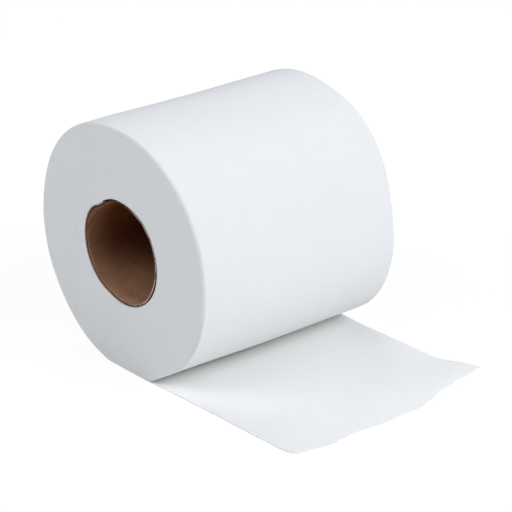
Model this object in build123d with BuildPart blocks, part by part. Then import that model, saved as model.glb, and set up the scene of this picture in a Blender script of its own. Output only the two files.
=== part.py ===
from build123d import *
import os
from math import ceil, cos, radians, sin, sqrt

# A toilet paper roll lying on a table, with its last sheet unrolled in front of it.
# The origin is the middle of the tube. Y runs along the tube, +X is the way the loose sheet runs out
# and +Z is up. All sizes are in millimetres and all angles in degrees from +X towards +Z.

# The wound roll
roll_width = 100.0
roll_radius = 51.9
diagonal_squash = 1.12      # the roll is pressed in along its 45 degree diagonal by this much
side_squash = 0.66          # and its top, bottom and sides are this much flatter than a circle
resting_squash = 0.5        # depth of the flat spot that it rests on
resting_blend = 20.0        # radius of the bend from the round side into the flat spot
end_softness = 2.0          # rounding of the paper at the rim of each end

# The cardboard tube
tube_radius = 22.0
tube_wall = 0.6

# The first turn of paper round the tube
tube_gap = 1.1              # slack between the tube and the paper, all of it on the +X side
start_angle = 113.0         # the paper starts here and is wound on towards greater angles
start_thickness = 1.3       # the folded start of the paper, which the second turn climbs over
start_ramp = 38.0           # angle over which the second turn comes back down to the tube

# The turns, seen as one spiral of raised and sunk bands on each end
visible_turns = 4
band_step = 0.4             # how far the sunk bands lie behind the raised ones
inner_margin = 1.6          # plain paper between the tube and the first band
rim_margin = 1.0            # and between the last band and the rounding of the rim

# The loose sheet
sheet_thickness = 0.4
sheet_reach = 104.2         # from below the tube's axis to the torn end
near_corner_radius = 6.0
far_setback = 3.0           # the tear runs back by this much at the far corner
tear_wave = 0.5             # height of the waves along the torn end
tear_wave_length = 33.0
tear_wave_crest = -32.0     # place of one crest along the torn end

# The far corner of the sheet, which bends up about a slanting line
lift_along_edge = 29.0      # the bend starts this far before the corner on the sheet's long edge
lift_along_tear = 33.0      # and this far from it along the torn end
lift_radius = 15.0
lift_angle = 15.0


def roll_edge(angle):
    """Radius of the pressed roll."""
    return roll_radius - diagonal_squash * sin(radians(2 * angle)) - side_squash * cos(radians(4 * angle))


def paper_edge(angle):
    """Radius of the hole in the paper, which touches the tube at 180 degrees only."""
    return tube_radius + tube_gap * (1 + cos(radians(angle))) / 2


def polar(radius, angle):
    """Point of the roll's section."""
    return (radius * cos(radians(angle)), radius * sin(radians(angle)))


def arc_chain(point, first, last, pieces):
    """Smooth chain of arcs, two to a piece, along the curve that point(place) gives from first to last."""
    step = (last - first) / pieces
    places = [first + step * piece for piece in range(pieces + 1)]
    knots = [Vector(*point(place)) for place in places]
    nearby = step / 1000
    headings = [(Vector(*point(p + nearby)) - Vector(*point(p - nearby))).normalized() for p in places]
    arcs = []
    for start, end, leaving, arriving in zip(knots, knots[1:], headings, headings[1:]):
        # The two arcs share a tangent where they meet, at equal tangent lengths from both ends.
        chord = end - start
        along = chord.dot(leaving + arriving)
        bend = 2 * (1 - leaving.dot(arriving))
        reach = (sqrt(along**2 + bend * chord.dot(chord)) - along) / bend
        meeting = (start + leaving * reach + end - arriving * reach) / 2
        arcs.append(Edge.make_tangent_arc(start, leaving, meeting))
        arcs.append(Edge.make_tangent_arc(meeting, arcs[-1] % 1, end))
    return arcs


table_z = resting_squash - roll_edge(270)
half_width = roll_width / 2


# The tube is wound from two plies of brown board and cut off flush with the paper.
with BuildPart() as cardboard_core:
    with BuildSketch(Plane.XZ.offset(-half_width)):
        Circle(tube_radius)
        Circle(tube_radius - tube_wall, mode=Mode.SUBTRACT)
    extrude(amount=roll_width)


# One spiral band runs from the start of the paper at the tube to the place under the roll where the
# last turn leaves it.
band_turns = visible_turns + (270 - start_angle) / 360


def band_point(turns, side):
    """Point on the inner (-1) or outer (+1) side of the sunk band, counted in turns from the start."""
    angle = start_angle + 360 * turns
    first = paper_edge(angle) + inner_margin
    last = roll_edge(angle) - end_softness - rim_margin
    pitch = (last - first) / band_turns
    return polar(first + pitch * (turns + side / 4), angle)


def band_side(side):
    """One side of the sunk band, from the tube outwards, with about four pieces to a turn."""
    return arc_chain(lambda turns: band_point(turns, side), 0, band_turns, ceil(4 * band_turns))


def last_turn_point(angle):
    """Point on the outside of the roll, where the last turn lies on the one before it."""
    return polar(roll_edge(angle) - sheet_thickness * (270 - angle) / 360, angle)


def torn_end(y):
    """How far the loose sheet reaches at a place along its torn end."""
    share = y / roll_width + 0.5
    wave = tear_wave * cos(radians(360 * (y - tear_wave_crest) / tear_wave_length))
    return sheet_reach - far_setback * share**4 + wave


def draw_sheet():
    """Outline of the loose sheet as seen from above, from below the roll to the torn end."""
    places = [roll_width * step / 12 - half_width for step in range(13)]
    tear = Spline(*[(torn_end(y), y) for y in places])
    Polyline(tear @ 0, (0, -half_width), (0, half_width), tear @ 1)


# The far corner bends up about a line that slants across it.
far_corner = Vector(torn_end(half_width), half_width)
bend_start = far_corner - Vector(lift_along_edge, 0)
bend_end = far_corner - Vector(0, lift_along_tear)
bend_along = (bend_end - bend_start).normalized()
bend_across = Vector(-bend_along.Y, bend_along.X)
corner_depth = (far_corner - bend_start).dot(bend_across)
bend_plane = Plane(
    origin=(bend_start.X, bend_start.Y, table_z),
    x_dir=bend_across,
    z_dir=bend_along,
)


with BuildPart() as lifted_corner:
    with BuildSketch(bend_plane):
        with BuildLine():
            under_bend = JernArc((0, 0), (1, 0), lift_radius, lift_angle)
            under_run = Line(under_bend @ 1, under_bend @ 1 + (under_bend % 1) * corner_depth)
            over_bend = JernArc((0, sheet_thickness), (1, 0), lift_radius - sheet_thickness, lift_angle)
            over_run = Line(over_bend @ 1, over_bend @ 1 + (over_bend % 1) * corner_depth)
            Line((0, 0), over_bend @ 0)
            Line(under_run @ 1, over_run @ 1)
        make_face()
    extrude(amount=roll_width, both=True)
    with BuildSketch(Plane.XY.offset(table_z)):
        with BuildLine():
            draw_sheet()
        make_face()
    extrude(amount=corner_depth, mode=Mode.INTERSECT)


# The loose sheet lies flat on the table up to the bend of its far corner.
with BuildPart() as loose_sheet:
    with BuildSketch(Plane.XY.offset(table_z)) as sheet:
        with BuildLine():
            draw_sheet()
        make_face()
        near_corner = sheet.vertices().sort_by_distance((sheet_reach, -half_width))[0]
        fillet(near_corner, radius=near_corner_radius)
    extrude(amount=sheet_thickness)
    split(bisect_by=Plane(bend_start, z_dir=bend_across), keep=Keep.BOTTOM)
    add(lifted_corner.part)


# The web of tissue: wound round the tube, pressed flat where it rests, and running out as the loose sheet.
with BuildPart() as wound_tissue:
    with BuildSketch(Plane.XZ.offset(-half_width)) as section:
        last_turn = arc_chain(last_turn_point, -90, 270, pieces=8)
        make_face(last_turn + [Edge.make_line(last_turn[-1] @ 1, last_turn[0] @ 0)])
        with Locations((0, table_z)):
            Rectangle(4 * roll_radius, roll_radius, align=(Align.CENTER, Align.MAX), mode=Mode.SUBTRACT)
        fillet(section.vertices().group_by(Axis.Y)[0], radius=resting_blend)
    extrude(amount=roll_width)
    fillet(faces().filter_by(Axis.Y).edges(), radius=end_softness)

    # The hole, a little wider than the tube, and the gap beside the folded start of the paper.
    with BuildSketch(Plane.XZ.offset(-half_width)):
        with Locations((tube_gap / 2, 0)):
            Circle(tube_radius + tube_gap / 2)
        with BuildLine():
            step_foot = polar(tube_radius - tube_wall, start_angle)
            step_top = polar(paper_edge(start_angle) + start_thickness, start_angle)
            ramp_end = polar(paper_edge(start_angle - start_ramp), start_angle - start_ramp)
            Line(step_foot, step_top)
            RadiusArc(step_top, ramp_end, tube_radius)
            Line(ramp_end, step_foot)
        make_face()
    extrude(amount=roll_width, mode=Mode.SUBTRACT)

    # Both ends show the turns as a spiral of raised and sunk bands.
    for end in (-1, 1):
        with BuildSketch(Plane.XZ.offset(end * half_width)):
            inner_side = band_side(-1)
            outer_side = band_side(1)
            tube_end = Edge.make_line(inner_side[0] @ 0, outer_side[0] @ 0)
            rim_end = Edge.make_line(inner_side[-1] @ 1, outer_side[-1] @ 1)
            make_face(inner_side + outer_side + [tube_end, rim_end])
        extrude(amount=band_step, both=True, mode=Mode.SUBTRACT)

    add(loose_sheet.part)


cardboard_core.part.label = "cardboard_core"
wound_tissue.part.label = "wound_tissue"

os.makedirs("parts", exist_ok=True)
for piece in (cardboard_core.part, wound_tissue.part):
    export_step(piece, f"parts/{piece.label}.step")
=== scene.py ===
from math import atan2, cos, degrees, exp, hypot, pi, radians, sin, sqrt

import bmesh
import bpy
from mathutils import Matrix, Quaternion, Vector, noise


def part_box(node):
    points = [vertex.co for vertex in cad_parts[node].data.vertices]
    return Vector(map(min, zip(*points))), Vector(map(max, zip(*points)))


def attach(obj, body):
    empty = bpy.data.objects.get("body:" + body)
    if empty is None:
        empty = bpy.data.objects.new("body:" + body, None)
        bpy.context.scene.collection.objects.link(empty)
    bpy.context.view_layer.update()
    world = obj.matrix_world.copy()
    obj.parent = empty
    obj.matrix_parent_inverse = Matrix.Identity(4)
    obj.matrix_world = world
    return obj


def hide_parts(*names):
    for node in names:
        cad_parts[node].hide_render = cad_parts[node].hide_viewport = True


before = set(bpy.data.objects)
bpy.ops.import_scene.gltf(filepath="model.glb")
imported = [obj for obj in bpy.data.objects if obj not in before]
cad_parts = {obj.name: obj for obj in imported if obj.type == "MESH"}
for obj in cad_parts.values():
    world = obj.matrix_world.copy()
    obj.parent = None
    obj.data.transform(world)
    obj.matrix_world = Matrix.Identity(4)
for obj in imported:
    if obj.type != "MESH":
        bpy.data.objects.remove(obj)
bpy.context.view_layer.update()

# The cardboard tube: two plies of brown recycled board, wound on a slant into a spiral tube, glued, and cut
# to the width of the web. Storage has left it a little out of round, and its cut edge is pale and fuzzy.

mm = 0.001
tiny = 0.001 * mm
tube_low, tube_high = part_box("cardboard_core")
tube_half = (tube_high.y - tube_low.y) / 2
tube_radius = (tube_high.x - tube_low.x) / 2
tube_wall = 0.6 * mm
tube_recess = 0.15 * mm
tube_steps = 144
tube_rows = 72
tube_wobble = 0.12 * mm
wobble_length = 30 * mm
fuzz_depth = 0.09 * mm
fuzz_lengths = (0.8 * mm, 3.5 * mm)

# The inner ply, whose edges meet in one slanting seam: the way along the tube that the seam takes for a
# turn, a place where it crosses the +X side, and the step from one edge to the other
ply_pitch = 76 * mm
ply_start = 62 * mm
ply_step = 0.12 * mm

# Radius of the outside of the tube in millimetres, by the angle round the roll
tube_outline = (
    (0, 22.6), (20, 22.8), (45, 22.6), (67, 22.0), (85, 21.8), (100, 21.6), (110, 21.2), (118, 20.95),
    (127, 21.05), (142, 22.1), (160, 22.7), (180, 22.45), (200, 22.2), (226, 21.55), (250, 20.8),
    (272, 21.4), (290, 21.95), (310, 22.3), (335, 22.35),
)


def along(places, at):
    """Length at one place of a table of places and lengths, in smooth curves from each to the next."""
    here = sum(place <= at for place, _ in places) - 1
    here = min(max(here, 1), len(places) - 3)
    before, first, last, after = places[here - 1:here + 3]
    width = last[0] - first[0]
    share = (at - first[0]) / width
    leaving = (last[1] - before[1]) / (last[0] - before[0]) * width
    arriving = (after[1] - first[1]) / (after[0] - first[0]) * width
    rise = last[1] - first[1]
    return mm * (first[1] + share * (
        leaving + share * (3 * rise - 2 * leaving - arriving + share * (leaving + arriving - 2 * rise))
    ))


def around(places, angle):
    """The same for a table of angles round the roll, which closes on itself."""
    (first, first_length), (second, second_length) = places[:2]
    last, last_length = places[-1]
    before = (last - 360, last_length)
    after = (first + 360, first_length), (second + 360, second_length)
    return along([before, *places, *after], angle % 360)


def turn_of(point):
    """Angle of a point round the roll, in degrees from +X towards +Z."""
    return degrees(atan2(point.z, point.x)) % 360


def mesh_piece(name, shape, finish):
    """Turns a finished bmesh into a piece of the scene, with its material."""
    mesh = bpy.data.meshes.new(name)
    shape.to_mesh(mesh)
    shape.free()
    mesh.materials.append(finish)
    piece = bpy.data.objects.new(name, mesh)
    bpy.context.scene.collection.objects.link(piece)
    return piece


def board_tube():
    """The tube as a thin ring, drawn in section, spun round the Y axis and brought out of round."""
    shape = bmesh.new()
    section = []
    for row in range(tube_rows + 1):
        section.append(shape.verts.new((tube_radius - tube_wall, tube_half * (2 * row / tube_rows - 1), 0)))
    for row in range(tube_rows, -1, -1):
        section.append(shape.verts.new((tube_radius, tube_half * (2 * row / tube_rows - 1), 0)))
    edges = [shape.edges.new((a, b)) for a, b in zip(section, section[1:] + section[:1])]
    bmesh.ops.spin(
        shape,
        geom=section + edges,
        cent=(0, 0, 0),
        axis=(0, 1, 0),
        angle=radians(360),
        steps=tube_steps,
        use_merge=True,
    )
    bmesh.ops.remove_doubles(shape, verts=shape.verts, dist=tiny)
    outside_at = shape.verts.layers.float.new("outside")
    for vert in shape.verts:
        angle = turn_of(vert.co)
        outside = hypot(vert.co.x, vert.co.z) > tube_radius - tube_wall / 2
        vert[outside_at] = outside
        radius = around(tube_outline, angle)
        if not outside:
            lap = ((vert.co.y - ply_start) / ply_pitch + angle / 360) % 1
            radius -= tube_wall + ply_step * lap
        way = Vector((cos(radians(angle)), sin(radians(angle)), vert.co.y / wobble_length))
        radius += tube_wobble * noise.noise(way)
        if abs(vert.co.y) > tube_half - tube_recess:
            frayed = sum(noise.noise(vert.co / length) for length in fuzz_lengths)
            vert.co.y -= (fuzz_depth * frayed + tube_recess) * (1 if vert.co.y > 0 else -1)
        vert.co.x = radius * cos(radians(angle))
        vert.co.z = radius * sin(radians(angle))
    bmesh.ops.recalc_face_normals(shape, faces=shape.faces)
    for face in shape.faces:
        face.smooth = True
    return shape


class Value:
    """A socket in a material's nodes. Arithmetic with it adds Math nodes, and node adds any other."""

    def __init__(self, tree, socket=None):
        self.tree = tree
        self.socket = socket

    def node(self, kind, settings, inputs, output=0):
        """A new node, first set up, then fed with values or sockets. Gives back one of its outputs."""
        made = self.tree.nodes.new(kind)
        for name, setting in settings.items():
            setattr(made, name, setting)
        for name, value in inputs.items():
            if isinstance(value, Value):
                self.tree.links.new(value.socket, made.inputs[name])
            else:
                made.inputs[name].default_value = value
        return None if output is None else Value(self.tree, made.outputs[output])

    def math(self, operation, *values):
        """A Math node's result."""
        return self.node("ShaderNodeMath", {"operation": operation}, dict(enumerate(values)))

    def __add__(self, other):
        return self.math("ADD", self, other)

    def __sub__(self, other):
        return self.math("SUBTRACT", self, other)

    def __rsub__(self, other):
        return self.math("SUBTRACT", other, self)

    def __mul__(self, other):
        return self.math("MULTIPLY", self, other)

    def __truediv__(self, other):
        return self.math("DIVIDE", self, other)

    def __abs__(self):
        return self.math("ABSOLUTE", self)

    __radd__ = __add__
    __rmul__ = __mul__

    def axis(self, number):
        """One of the three numbers of a position or direction: 0 for X, 1 for Y and 2 for Z."""
        return self.node("ShaderNodeSeparateXYZ", {}, {"Vector": self}, number)

    def between(self, low, high):
        """0 below one value, 1 above another and a smooth rise from one to the other."""
        return self.node(
            "ShaderNodeMapRange",
            {"interpolation_type": "SMOOTHSTEP"},
            {"Value": self, "From Min": low, "From Max": high},
        )

    def grain(self, size, stretch=(1, 1, 1), detail=2.0):
        """Noise from 0 to 1 on a position, with grains of one size, longer where stretch is over 1."""
        place = self.node(
            "ShaderNodeMapping",
            {"vector_type": "TEXTURE"},
            {"Vector": self, "Scale": stretch},
        )
        return self.node(
            "ShaderNodeTexNoise",
            {"noise_dimensions": "3D"},
            {"Vector": place, "Scale": 1 / size, "Detail": detail, "Roughness": 0.55},
            "Fac",
        )

    def tint(self, first, second):
        """A colour that goes from the first to the second as this value goes from 0 to 1."""
        first, second = (color if isinstance(color, Value) else (*color, 1) for color in (first, second))
        return self.node("ShaderNodeMix", {"data_type": "RGBA"}, {0: self, 6: first, 7: second}, 2)


def new_finish(name):
    """An empty material, and the value that starts its nodes."""
    material = bpy.data.materials.new(name)
    material.use_nodes = True
    material.node_tree.nodes.clear()
    return material, Value(material.node_tree)


def layer(start, name):
    """What a piece's mesh holds at each of its points under that name."""
    return start.node("ShaderNodeAttribute", {"attribute_name": name}, {}, "Fac")


def surface(start, color, roughness, height, relief, specular):
    """Ends a material with a Principled surface and a bump of that many metres."""
    bump = start.node("ShaderNodeBump", {}, {"Height": height, "Strength": 1.0, "Distance": relief})
    shader = start.node(
        "ShaderNodeBsdfPrincipled",
        {},
        {"Base Color": color, "Roughness": roughness, "Normal": bump, "Specular IOR Level": specular},
    )
    start.node("ShaderNodeOutputMaterial", {}, {"Surface": shader}, None)


board_dark = (0.19, 0.084, 0.037)
board_pale = (0.57, 0.325, 0.20)
board_painted_shade = (0.13, 0.027, 0.002)
board_painted_light = (0.76, 0.45, 0.29)
board_cut = (0.52, 0.43, 0.36)
board_darkest = (0.08, 0.036, 0.022)
board_relief = 0.12 * mm
board_clouds = 7 * mm
board_fibres = 0.5 * mm
board_flecks = 1.1 * mm
cut_breaks = 2.6 * mm

# Depths from the mouth of the tube over which the board is painted paler as painted light, and over
# which it is painted darker as painted shade. The first is painted below and the second above, where
# heights in the tube go from -1 to 1.
painted_light_depths = (1 * mm, 8 * mm)
painted_light_heights = (-0.95, -0.6)
painted_shade_depths = (-4 * mm, 15 * mm)
painted_shade_heights = (-0.85, -0.1)

# Places along X between which the cut edge turns from dark to pale
cut_pales = (2 * mm, 14 * mm)


def brown_board():
    """Recycled board with fibres along the tube, a dark seam, a pale cut edge and a near-black outside.

    The outside shows only in the narrow gap to the paper, and its near black is painted shade. Inside,
    the board has painted light near its two ends along its lower side, and painted shade deeper in and
    higher up."""
    material, start = new_finish("brown_board")
    place = start.node("ShaderNodeTexCoord", {}, {}, "Object")
    x, y, z = (place.axis(number) for number in range(3))
    lap = start.math("FRACT", (y - ply_start) / ply_pitch + start.math("ARCTAN2", z, x) / (2 * pi))
    seam = abs(lap - 0.5).between(0.485, 0.499)
    clouds = place.grain(board_clouds, detail=4.0)
    fibres = place.grain(board_fibres, stretch=(1, 3, 1), detail=3.0)
    flecks = place.grain(board_flecks, detail=1.0).between(0.62, 0.75)
    breaks = place.grain(cut_breaks).between(0.38, 0.52)
    depth = tube_half - abs(y)
    height = z / tube_radius
    inner_shade = depth.between(*painted_shade_depths) * (0.15 + height.between(*painted_shade_heights) * 0.85)
    mouth_light = (1 - depth.between(*painted_light_depths)) * (1 - height.between(*painted_light_heights))
    facing = start.node("ShaderNodeNewGeometry", {}, {}, "True Normal")
    cut = abs(facing.axis(1)).between(0.5, 0.7)
    outside = layer(start, "outside").between(0.6, 1.0)
    color = (clouds * 0.6 + fibres * 0.55 - 0.08).tint(board_dark, board_pale)
    color = (flecks * 0.3).tint(color, board_pale)
    color = (seam * 0.45).tint(color, board_dark)
    # Painted shade: darker deeper in the tube and higher up.
    color = (inner_shade * 0.85).tint(color, board_painted_shade)
    # Painted light: paler near each end of the tube, along its lower side.
    color = (mouth_light * 0.38).tint(color, board_painted_light)
    # Painted shade: the outside of the tube shows only in the narrow gap to the paper, so it is painted
    # near black.
    color = (outside * 0.85).tint(color, board_darkest)
    # The cut face is darkened, and turns pale towards +X.
    color = (cut * 0.8).tint(color, board_darkest)
    color = (cut * x.between(*cut_pales) * (0.3 + breaks * 0.7)).tint(color, board_cut)
    relief = fibres * 0.6 + clouds * 0.4 + (1 - seam) * 0.8
    surface(start, color, 0.9, relief, board_relief, specular=0.0)
    return material


tube = mesh_piece("cardboard_tube", board_tube(), brown_board())
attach(tube, "root")
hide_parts("cardboard_core")


# The web of tissue: one strip of soft white two-ply paper, some 23 m long, wound round the tube from its
# glued start. Each end shows the edges of its turns. The last turn runs out flat and ends in a torn edge.

web_low, web_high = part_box("wound_tissue")
web_half = (web_high.y - web_low.y) / 2
table = web_low.z
roll_radius = 51.9 * mm
diagonal_squash = 1.12 * mm
side_squash = 0.66 * mm
flat_blend = 0.4 * mm
table_nearness = 0.5
end_puff = 0.3 * mm

# Angles round the roll: where the web starts, where its last turn leaves the roll, and from where the side
# of the roll sags straight down to the table
start_angle = 116
leave_angle = 285
sag_angle = 301

# Radius of the hole in the paper in millimetres, by the angle round the roll, and what the folded start
# of the web takes from it. The fold fades over a few turns.
hole_outline = (
    (0, 23.4), (45, 23.2), (68, 22.35), (82, 21.95), (100, 21.75), (112, 21.45), (118, 21.7),
    (133, 22.3), (145, 22.7), (160, 22.8), (180, 22.5), (200, 22.2), (226, 21.6), (250, 20.8),
    (272, 21.4), (290, 22.0), (310, 22.65), (335, 23.35),
)
start_fold = ((0, 0), (60, 0), (114.5, 0), (117, 0.65), (127, 1.1), (133, 0.55), (142, 0), (200, 0))
fold_turns = 4

# How far handling has let the side swell at each end or pressed it in, in millimetres by the angle round
# the roll. The shape of the near end goes over into that of the far end up to a place past the middle.
near_shape = (
    (0, 1.3), (15, 1.7), (32, 1.7), (50, 1.3), (70, 1.0), (90, 0.75), (108, 0.6), (120, 0.3), (135, -0.1),
    (150, -0.25), (163, -0.25), (175, 0.3), (190, 0.55), (200, 0.4), (212, -0.05), (224, 0.0), (238, 0.5),
    (252, 0.7), (262, 0.9), (272, 0.4), (285, -0.42), (295, -0.9), (305, -1.15), (318, -0.75), (330, -0.2),
    (345, 0.6),
)
far_shape = (
    (0, -0.2), (10, -0.6), (18, -0.4), (28, 0.2), (42, 0.3), (58, 0.35), (72, -0.15), (84, -0.05),
    (98, 0.15), (110, -0.25), (122, -0.5), (150, -0.3), (180, 0.0), (246, 0.4), (290, 0.0), (306, 0.0),
    (318, 0.4), (334, 0.5), (348, 0.4),
)
far_shape_from = 0.2 * web_half

# Softness of the rims. One side of the near rim is crushed, and the rims are sharper where the last turn
# leaves the roll. Bumps round the roll are given as their angle and width in degrees.
near_rim = 1.0 * mm
far_rim = 0.8 * mm
crushed_rim = 1.0 * mm
crushed_place = (35, 60)
sharp_place = (leave_angle, 22)
sharp_share = 0.8

# The turns as drawn, how unevenly their edges stand at the ends of the roll after the first few, how far
# from the rim the ends take on their full shade, and the bend in degrees past which an edge looks sharp
turns = 84
web_turns = turns + 1 + (leave_angle - start_angle) / 360
round_steps = 160
across_steps = 100
row_crowding = 0.45
hole_steps = 8
edge_relief = 0.04 * mm
telescoping = 0.06 * mm
patch_relief = 0.16 * mm
even_turns = 1.5
rim_fade = 1.3 * mm
sharpest_bend = 50

# Low swells of the outer turn, and the pinches round its far end: height, place along the roll at 60
# degrees, drift for each degree and width, in millimetres, and the angles from and to which it runs.
# The turn is even where it leaves the roll and close to its rims.
swell_height = 0.16 * mm
swell_length = 22 * mm
pinches = (
    (0.38, 41, -0.020, 1.7, 20, 95),
    (0.32, 36, -0.035, 2.2, 30, 80),
    (0.28, 45.5, -0.01, 1.5, -25, 60),
)
even_place = (leave_angle, 15)
even_inset = 4 * mm

# The loose sheet, and how far its torn end reaches in millimetres, by the place across the web
sheet_steps = 72
sheet_thickness = 0.35 * mm
torn_outline = (
    (-52, 88), (-49.6, 95), (-48.9, 98.4), (-47.2, 101.0), (-44.4, 102.1), (-40.7, 102.5),
    (-37.7, 103.4), (-33.5, 104.2), (-25.7, 103.8), (-17.5, 103.4), (-12, 104.3), (-3, 104.9),
    (4, 104.5), (11, 105.0), (15, 104.9), (20, 104.0), (25, 102.7), (34, 102.0), (39.5, 101.9),
    (44.4, 101.9), (50, 101.5), (52, 101.0),
)
torn_ragged = 0.2 * mm
rag_length = 2.4 * mm
fine_rag_length = 1.1 * mm

# Its long edges draw in a little once it is free of the roll, and waver. Its far corner curls up between
# these places along and across the web, and low swells lift it off the table past the roll.
near_edge = -0.5 * mm
far_edge = -1.0 * mm
edge_draw = 0.25
edge_waver = 0.06 * mm
waver_length = 9 * mm
corner_lift = 4.7 * mm
curl_along = (74 * mm, 104 * mm)
curl_across = (4 * mm, 54 * mm)
sheet_swell = 0.3 * mm
sheet_swell_share = 0.35
sheet_swell_along = 17 * mm
sheet_swell_across = 26 * mm
sheet_swell_from = (40 * mm, 60 * mm)


def smooth(value, low, high):
    """0 below one value, 1 above another and a smooth rise from one to the other."""
    share = max(0.0, min(1.0, (value - low) / (high - low)))
    return share * share * (3 - 2 * share)


def soft_min(a, b, blend):
    """The smaller of two lengths, with the corner between them rounded."""
    gap = (a - b) / blend
    return (a + b) / 2 - sqrt((gap / 2) ** 2 + 0.25) * blend


def angle_from(centre, angle):
    """Angle from one place round the roll to another, from -180 to 180 degrees."""
    return (angle - centre + 180) % 360 - 180


def bulge(angle, centre, width):
    """Smooth bump of height 1 at one angle round the roll, all in degrees."""
    return exp(-((angle_from(centre, angle) / width) ** 2))


def free_outline(angle, y):
    """Radius of the outside of the last turn, as handling has left it."""
    turn = radians(angle)
    free = roll_radius - diagonal_squash * sin(2 * turn) - side_squash * cos(4 * turn)
    far_share = smooth(y, -web_half, far_shape_from)
    return free + (1 - far_share) * around(near_shape, angle) + far_share * around(far_shape, angle)


def outline(angle, y):
    """The same where the roll lies on the table: flat, with a sag that runs straight down to it."""
    free = free_outline(angle, y)
    down = -sin(radians(angle))
    if down < table_nearness:
        return free
    if 270 < angle % 360 < sag_angle:
        free = free_outline(sag_angle, y) / cos(radians(sag_angle - angle))
    return soft_min(free, -table / down, flat_blend)


def radius_at(angle, wound, y):
    """Radius of a place in the spiral, with the turns wound since the start of the web."""
    inner = around(hole_outline, angle) - around(start_fold, angle) * exp(-wound / fold_turns)
    return inner + (outline(angle, y) - inner) * wound / web_turns


def rim_at(angle, side):
    """Softness of the rim at one angle round one end of the roll."""
    softness = far_rim if side > 0 else near_rim + crushed_rim * bulge(angle, *crushed_place)
    return softness * (1 - sharp_share * bulge(angle, *sharp_place))


def soften_rim(depth, inward, softness):
    """Rounds the square rim: depth is measured from the side, inward from the end of the roll."""
    a = 1 - depth / softness
    b = 1 - inward / softness
    if a <= 0 or b <= 0:
        return depth, inward
    share = max(a, b) / hypot(a, b)
    return softness * (1 - a * share), softness * (1 - b * share)


def end_relief(angle, wound, crest, side):
    """How far the edge of a turn stands in from the flat end: some turns lie deeper than others."""
    way = Vector((cos(radians(angle)), sin(radians(angle)), 0))
    slow = noise.noise(Vector((wound * 0.16, side * 7, 0))) * telescoping
    quick = noise.noise(Vector((wound * 1.7, 3 * side, 1.5 * way.x))) * telescoping * 0.4
    patch = noise.noise(way * 2.2 + Vector((0, 0, wound * 0.05 + side))) * patch_relief
    return telescoping + slow + quick + patch + (1 - crest) * edge_relief


def ripple(angle, y):
    """Low swells of the soft outer turn, with a few long pinches round its far end."""
    turn = radians(angle)
    height = noise.noise(Vector((cos(turn) * 2.6, y / swell_length, sin(turn) * 2.6))) * swell_height
    for pinch, place, drift, width, first, last in pinches:
        middle = place + drift * (angle - 60)
        length = smooth(angle, first - 25, first + 15) * (1 - smooth(angle, last - 20, last + 20))
        height += pinch * mm * length * exp(-(((y - middle * mm) / (width * mm)) ** 2))
    return height


def torn_end(y):
    """How far the loose sheet reaches at a place along its torn end."""
    coarse = noise.noise(Vector((y / rag_length, 0, 5)))
    fine = noise.noise(Vector((y / fine_rag_length, 3, 0)))
    return along(torn_outline, y / mm) + (coarse + 0.5 * fine) * torn_ragged


def change(edge, layer_at):
    """How much the value in a layer changes from one end of an edge to the other."""
    return abs(edge.verts[0][layer_at] - edge.verts[1][layer_at])


def wound_web():
    """The wound turns and the loose sheet as one closed mesh, still square, with its places in layers.

    One end starts as a grid, wound so that its two long sides meet a turn apart. The other end is its
    copy, both are bridged, and the step that this leaves on the outside is drawn out into the sheet."""
    shape = bmesh.new()
    rings = 2 * turns
    bmesh.ops.create_grid(shape, x_segments=round_steps, y_segments=rings, size=0.5)
    layers = [shape.verts.layers.float.new(name) for name in ("angle", "wound", "crest", "side", "run")]
    angle_at, wound_at, crest_at, side_at, run_at = layers
    for vert in shape.verts:
        share = vert.co.x + 0.5
        ring = round((vert.co.y + 0.5) * rings)
        turn = ring / 2 + share
        angle = start_angle + 360 * share + (leave_angle - start_angle) * turn / (turns + 1)
        wound = turn + (leave_angle - start_angle) / 360 * turn / (turns + 1)
        vert[angle_at] = angle % 360
        vert[wound_at] = wound
        vert[crest_at] = ring % 2
        vert[side_at] = -1
        radius = radius_at(angle, wound, -web_half)
        vert.co = (radius * cos(radians(angle)), -web_half, radius * sin(radians(angle)))
    bmesh.ops.remove_doubles(shape, verts=shape.verts, dist=2 * tiny)

    copy = bmesh.ops.duplicate(shape, geom=shape.verts[:] + shape.edges[:] + shape.faces[:])
    far_verts = [item for item in copy["geom"] if isinstance(item, bmesh.types.BMVert)]
    bmesh.ops.translate(shape, verts=far_verts, vec=(0, 2 * web_half, 0))
    for vert in far_verts:
        vert[side_at] = 1

    rims = [edge for edge in shape.edges if edge.is_boundary]
    middle = (tube_radius + roll_radius) / 2
    for outer in (True, False):
        loop = [edge for edge in rims if (hypot(edge.verts[0].co.x, edge.verts[0].co.z) > middle) == outer]
        wall = bmesh.ops.bridge_loops(shape, edges=loop)["faces"]
        if outer:
            # The faces of the step are the only ones that reach from one turn down to the next.
            step = [face for face in wall if abs(face.verts[0][wound_at] - face.verts[2][wound_at]) > 0.3]
            drawn = bmesh.ops.extrude_face_region(shape, geom=step)["geom"]
            torn_verts = [item for item in drawn if isinstance(item, bmesh.types.BMVert)]
            bmesh.ops.delete(shape, geom=step, context="FACES_ONLY")
            for vert in torn_verts:
                vert[run_at] = 1
                vert.co.x += 2 * roll_radius
        # Edges that still run whole from one end of the roll, at -1, to the other, at 1
        across = [edge for edge in shape.edges if change(edge, side_at) > 1.5]
        cuts = (across_steps if outer else hole_steps) - 1
        bmesh.ops.subdivide_edges(shape, edges=across, cuts=cuts, use_grid_fill=True)
        if outer:
            runs = [edge for edge in shape.edges if change(edge, run_at) > 0.5]
            bmesh.ops.subdivide_edges(shape, edges=runs, cuts=sheet_steps - 1, use_grid_fill=True)
    return shape, layers


def spread(side):
    """Place across the web from -1 to 1, with the rows closer together towards both of its edges."""
    return (1 - row_crowding) * side + row_crowding * sin(side * pi / 2)


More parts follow.
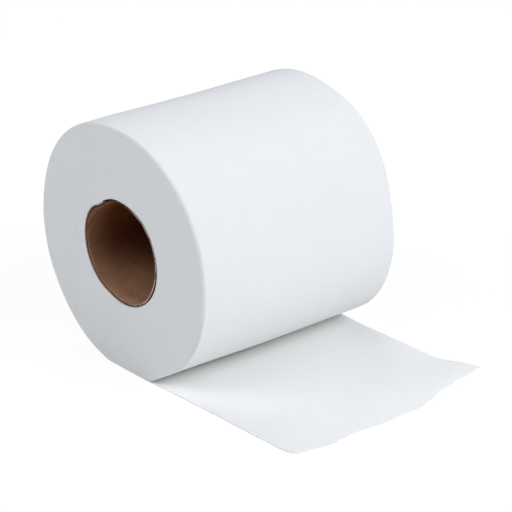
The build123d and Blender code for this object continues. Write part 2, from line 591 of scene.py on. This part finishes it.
def sheet_point(side, run, up):
    """Point of the loose sheet: side goes across it, run along it from the roll to the torn end."""
    leave_x = table / sin(radians(leave_angle)) * cos(radians(leave_angle))
    y = spread(side) * (web_half + (near_edge if side < 0 else far_edge) * smooth(run, 0, edge_draw))
    x = leave_x + run * (torn_end(y) - leave_x)
    lift = corner_lift * smooth(x, *curl_along) * smooth(y, *curl_across)
    swell = noise.noise(Vector((x / sheet_swell_along, y / sheet_swell_across, 3))) + sheet_swell_share
    lift += sheet_swell * max(0, swell) * smooth(x, *sheet_swell_from)
    y += edge_waver * noise.noise(Vector((x / waver_length, side, 0))) * smooth(run, 0, 0.1)
    return x, y, table + up + lift


def is_end(side):
    """Whether a point lies on one of the two ends of the roll, or on a long edge of the sheet."""
    return abs(side) > 0.9999


def roll_point(side, angle, wound, crest, last):
    """Point of the wound part, on one of its ends, on its outside or in its hole."""
    y = spread(side) * (web_half + end_puff)
    outside = radius_at(angle, last, y)
    depth = max(0, outside - radius_at(angle, wound, y))
    inset = web_half + end_puff - abs(y)
    outer = wound > web_turns / 2
    if outer:
        depth, inset = soften_rim(depth, inset, rim_at(angle, side))
    radius = outside - depth
    if is_end(side) and wound > even_turns:
        inset += end_relief(angle, wound, crest, side)
    if not is_end(side) and outer:
        radius += ripple(angle, y) * (1 - bulge(angle, *even_place)) * smooth(inset, 0, even_inset)
    y = (web_half + end_puff - inset) * (1 if side > 0 else -1)
    return radius * cos(radians(angle)), y, radius * sin(radians(angle))


def tissue_web():
    """Gives every point of the wound web its place on the roll or in the loose sheet."""
    shape, (angle_at, wound_at, crest_at, side_at, run_at) = wound_web()
    end_at = shape.verts.layers.float.new("end")
    for vert in shape.verts:
        side, angle, wound, run = vert[side_at], vert[angle_at], vert[wound_at], vert[run_at]
        if run > 0:
            vert.co = sheet_point(side, run, sheet_thickness * (web_turns - wound))
            continue
        last = web_turns - ((leave_angle - angle) % 360) / 360
        if wound > web_turns - 0.6 and abs(angle_from(leave_angle, angle)) < 1.5:
            # The very end of the last turn, which rounding can put just past the angle where it leaves
            last = max(last, wound)
        vert.co = roll_point(side, angle, wound, vert[crest_at], last)
        if is_end(side):
            from_rim = (last - wound) * (roll_radius - tube_radius) / web_turns
            vert[end_at] = smooth(from_rim, 0, rim_fade)
    bmesh.ops.recalc_face_normals(shape, faces=shape.faces)
    for face in shape.faces:
        face.smooth = True
    for edge in shape.edges:
        if edge.calc_face_angle(0) > radians(sharpest_bend):
            edge.smooth = False
    return shape


paper = (0.94, 0.94, 0.915)
paper_shade = (0.85, 0.85, 0.83)
paper_brownish = (0.42, 0.34, 0.28)
paper_relief = 0.10 * mm
paper_crepe = 0.55 * mm
paper_fibres = 0.35 * mm
paper_clouds = 9 * mm
paper_fluff = 1.6 * mm
brownish_turns = (0.1, 1.6)


def soft_tissue():
    """White tissue with fine creping across the web, loose fibres, and the shaded edges of its turns.

    The first turns, next to the tube, are tinted brown."""
    material, start = new_finish("soft_tissue")
    place = start.node("ShaderNodeTexCoord", {}, {}, "Object")
    wound = layer(start, "wound")
    end = layer(start, "end")
    loose = layer(start, "run").between(0.0, 0.05)
    crepe = place.grain(paper_crepe, stretch=(1, 7, 1), detail=3.0)
    fibres = place.grain(paper_fibres, stretch=(1, 2, 1), detail=3.0)
    clouds = place.grain(paper_clouds, detail=3.0)
    fluff = place.grain(paper_fluff, detail=4.0)
    lines = abs(start.math("FRACT", wound * 2) - 0.5) * 2
    # Painted shade on the ends of the roll, darker all over and along the edges of the turns, over random
    # tone.
    end_shade = 0.25 + lines * 0.06 + fluff * 0.3 + clouds * 0.4
    # Painted shade on the wound side, which is darker than the loose sheet, over random tone.
    side_shade = clouds * 0.25 + (1 - loose) * 0.7
    color = (end * end_shade + (1 - end) * side_shade).tint(paper, paper_shade)
    color = ((1 - wound.between(*brownish_turns)) * 0.9).tint(color, paper_brownish)
    relief = crepe * (1 - end) * 0.7 + fibres * 0.5 + fluff * end * 0.8
    surface(start, color, 0.95, relief, paper_relief, specular=0.15)
    return material


web = mesh_piece("tissue_web", tissue_web(), soft_tissue())
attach(web, "root")
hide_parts("wound_tissue")


# The studio: a plain white table in a white room, under four large soft lamps, seen through a long lens.
# The table's top lies a hair below the roll, and shines a little to the camera to keep its shadows faint.

table_size = 4.0
table_gap = 0.03 * mm
table_white = (0.9, 0.9, 0.9, 1)
table_glow = 1.06
glow_share = 0.85
room_light = 0.06
white = (1, 1, 1, 1)


def looked_at(start):
    """1 where the camera looks, straight or by way of gloss or glass, and 0 where light only bounces."""
    camera, gloss, glass = (
        start.node("ShaderNodeLightPath", {}, {}, ray)
        for ray in ("Is Camera Ray", "Is Glossy Ray", "Is Transmission Ray")
    )
    return start.math("MINIMUM", camera + gloss + glass, 1.0)


def white_table():
    """White board that mixes in some light of its own where it is looked at."""
    material, start = new_finish("white_table")
    cover = start.node("ShaderNodeBsdfDiffuse", {}, {"Color": table_white})
    glow = start.node("ShaderNodeEmission", {}, {"Color": white, "Strength": table_glow})
    mixed = start.node("ShaderNodeMixShader", {}, {0: looked_at(start) * glow_share, 1: cover, 2: glow})
    start.node("ShaderNodeOutputMaterial", {}, {"Surface": mixed}, None)
    return material


top = bmesh.new()
bmesh.ops.create_grid(top, x_segments=1, y_segments=1, size=table_size / 2)
bmesh.ops.translate(top, verts=top.verts, vec=(0, 0, table - table_gap))
table_top = mesh_piece("white_table", top, white_table())

room = bpy.data.worlds.new("white_room")
bpy.context.scene.world = room
room.use_nodes = True
room.node_tree.nodes.clear()
start = Value(room.node_tree)
strength = room_light + looked_at(start) * (1 - room_light)
walls = start.node("ShaderNodeBackground", {}, {"Color": white, "Strength": strength})
start.node("ShaderNodeOutputWorld", {}, {"Surface": walls}, None)

# Each lamp's azimuth and elevation in degrees as seen from the roll, and its power in watts
lamps = (
    ("side_lamp", 19, 35, 32.5),
    ("front_lamp", -105, 43, 14.4),
    ("top_lamp", -60, 60, 8.4),
    ("back_lamp", 150, 50, 9.4),
)
lamp_size = 1.4
lamp_distance = 2.2
lamp_tint = (0.965, 0.995, 1.07)

for name, azimuth, elevation, power in lamps:
    light = bpy.data.lights.new(name, "AREA")
    light.shape = "DISK"
    light.size = lamp_size
    light.energy = power
    light.color = lamp_tint
    lamp = bpy.data.objects.new(name, light)
    level = cos(radians(elevation))
    way = Vector((cos(radians(azimuth)) * level, sin(radians(azimuth)) * level, sin(radians(elevation))))
    lamp.location = way * lamp_distance
    lamp.rotation_euler = way.to_track_quat("Z", "Y").to_euler()
    bpy.context.scene.collection.objects.link(lamp)

# The camera, as fitted to the photo: its place, its angles and its focal length in pixels of the frame
camera_place = Vector((696.718, -565.004, 363.180)) * mm
camera_azimuth = radians(49.9934)
camera_elevation = radians(22.9165)
camera_roll = radians(-1.1204)
camera_focal = 2382.76
frame_pixels = 512

back = Vector((
    sin(camera_azimuth) * cos(camera_elevation),
    -cos(camera_azimuth) * cos(camera_elevation),
    sin(camera_elevation),
))
camera_data = bpy.data.cameras.new("camera")
camera_data.sensor_fit = "HORIZONTAL"
camera_data.lens = camera_data.sensor_width * camera_focal / frame_pixels
camera_data.clip_start = 0.05
camera_data.clip_end = 10
camera = bpy.data.objects.new("camera", camera_data)
camera.rotation_mode = "QUATERNION"
camera.rotation_quaternion = back.to_track_quat("Z", "Y") @ Quaternion((0, 0, 1), camera_roll)
camera.location = camera_place
bpy.context.scene.collection.objects.link(camera)
bpy.context.scene.camera = camera
bpy.context.scene.view_settings.view_transform = "Standard"
